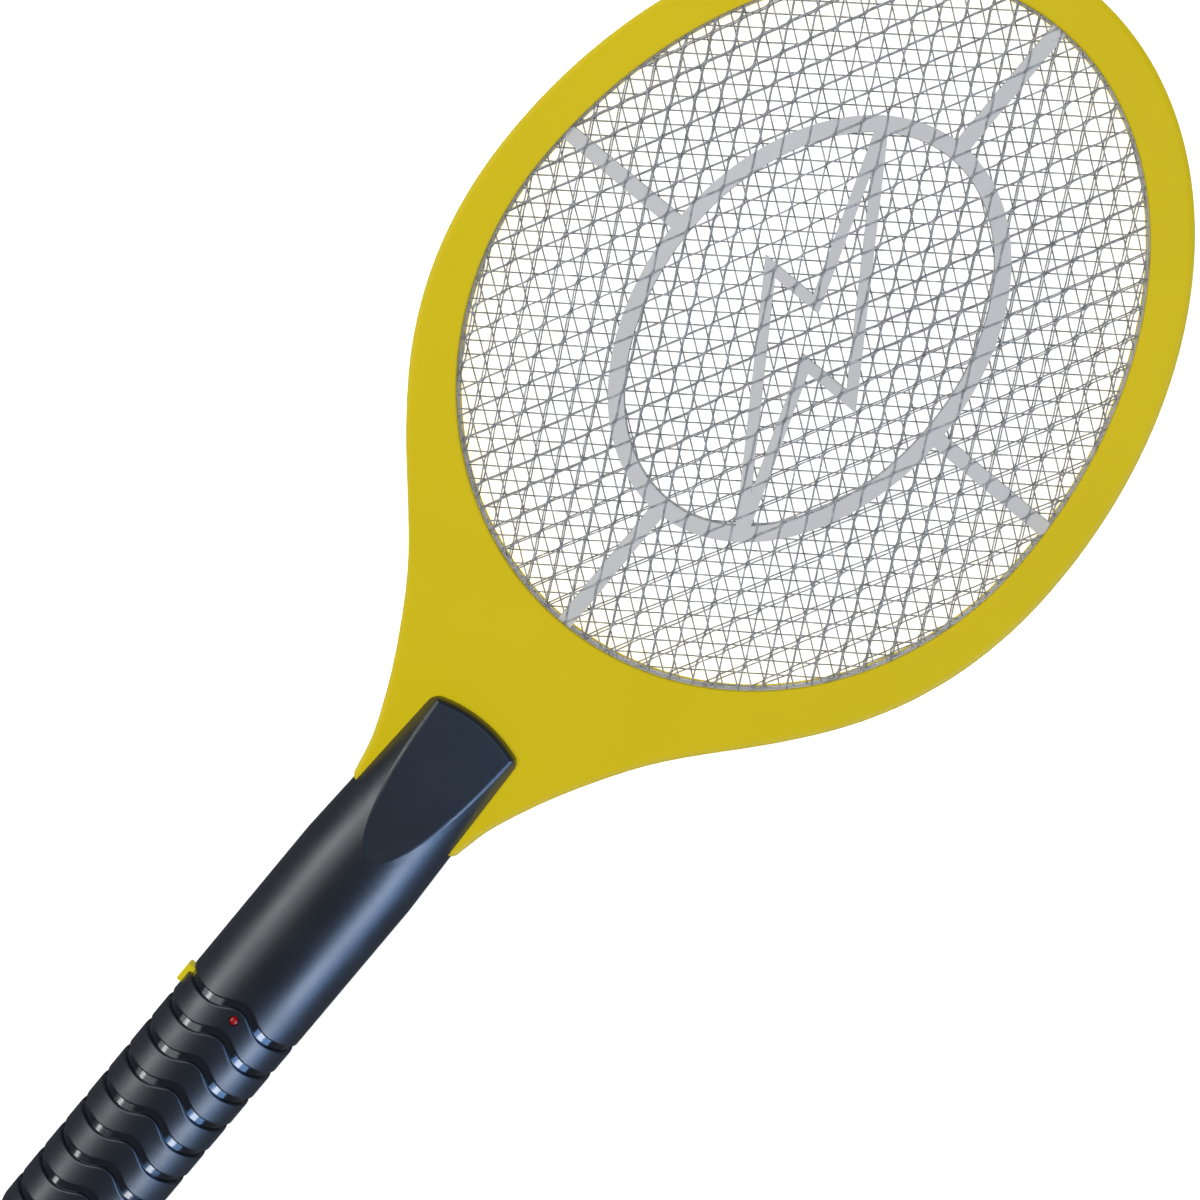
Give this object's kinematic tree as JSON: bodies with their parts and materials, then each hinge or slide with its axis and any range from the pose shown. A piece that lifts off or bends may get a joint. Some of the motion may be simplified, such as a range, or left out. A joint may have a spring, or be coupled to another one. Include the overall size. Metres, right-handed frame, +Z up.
{
  "type": "electric fly swatter",
  "caption": "Racket-shaped battery fly swatter: oval head with three wire grids on a flared neck, and a round grooved handle with a side push button.",
  "frame": {"origin": "on the surface it lies on, on its back, under the middle of the bounding box", "axes": "+Y along the handle towards the head's tip, +Z up, out of the head's front face, +X to the right seen from the front"},
  "size_m": [0.2052, 0.4942, 0.0409],
  "materials": {
    "yellow_plastic": "satin moulded, rounded edges",
    "black_plastic": "semi-gloss moulded",
    "grey_plastic": "light grey moulded",
    "grid_wire": "drawn steel wire",
    "button_yellow": "satin moulded",
    "red_lens": "translucent red lens",
    "board_green": "solder mask over glass fibre",
    "ferrite": "sintered dark grey",
    "winding_tape": "polyester tape",
    "film_capacitor": "dipped epoxy",
    "ceramic_capacitor": "dipped ceramic",
    "component_black": "moulded epoxy",
    "resistor_beige": "lacquered",
    "cell_can": "printed sleeve over a metal can",
    "contact_metal": "nickel-plated strip",
    "screw_steel": "zinc-plated steel",
    "terminal_brass": "stamped strip",
    "wire_red": "insulation",
    "wire_black": "insulation",
    "wire_white": "insulation"
  },
  "bodies": {
    "body": {"front_frame": "yellow_plastic", "back_frame": "yellow_plastic", "front_spacer": "grey_plastic", "back_spacer": "grey_plastic", "front_mesh": "grid_wire", "middle_mesh": "grid_wire", "back_mesh": "grid_wire", "outer_mesh_terminal": "terminal_brass", "middle_mesh_terminal": "terminal_brass", "neck_screws": "screw_steel", "tongue_screws": "screw_steel", "handle_screws": "screw_steel", "handle_front_shell": "black_plastic", "handle_back_shell": "black_plastic", "push_switch": "component_black", "indicator_led": "red_lens", "led_legs": "contact_metal", "circuit_board": "board_green", "transformer_core": "ferrite", "transformer_winding": "winding_tape", "hv_capacitor": "film_capacitor", "multiplier_capacitors": "ceramic_capacitor", "diodes": "component_black", "transistor": "component_black", "resistors": "resistor_beige", "battery_1": "cell_can", "battery_2": "cell_can", "positive_contact": "contact_metal", "negative_contact": "contact_metal", "bridge_contact": "contact_metal", "head_end_spring": "contact_metal", "butt_end_spring": "contact_metal", "battery_lead_red": "wire_red", "battery_lead_black": "wire_black", "outer_grid_lead": "wire_white", "middle_grid_lead": "wire_red"},
    "battery_cover": {"battery_cover": "black_plastic"},
    "push_button": {"push_button": "button_yellow"},
    "switch_plunger": {"switch_plunger": "grey_plastic"}
  },
  "joints": [
    {"name": "battery_cover_slide", "type": "slide", "parent": "body", "child": "battery_cover", "axis": [0, -1, 0], "range_m": [0, 0.075]},
    {"name": "push_button_press", "type": "slide", "parent": "body", "child": "push_button", "axis": [1, 0, 0], "range_m": [0, 0.0015], "stiffness_N_per_m": 700, "springref_m": -0.001},
    {"name": "switch_plunger_press", "type": "slide", "parent": "body", "child": "switch_plunger", "axis": [1, 0, 0], "range_m": [0, 0.0015]}
  ],
  "couplings": [
    {"joint": "switch_plunger_press", "follows": "push_button_press", "ratio": 1}
  ]
}
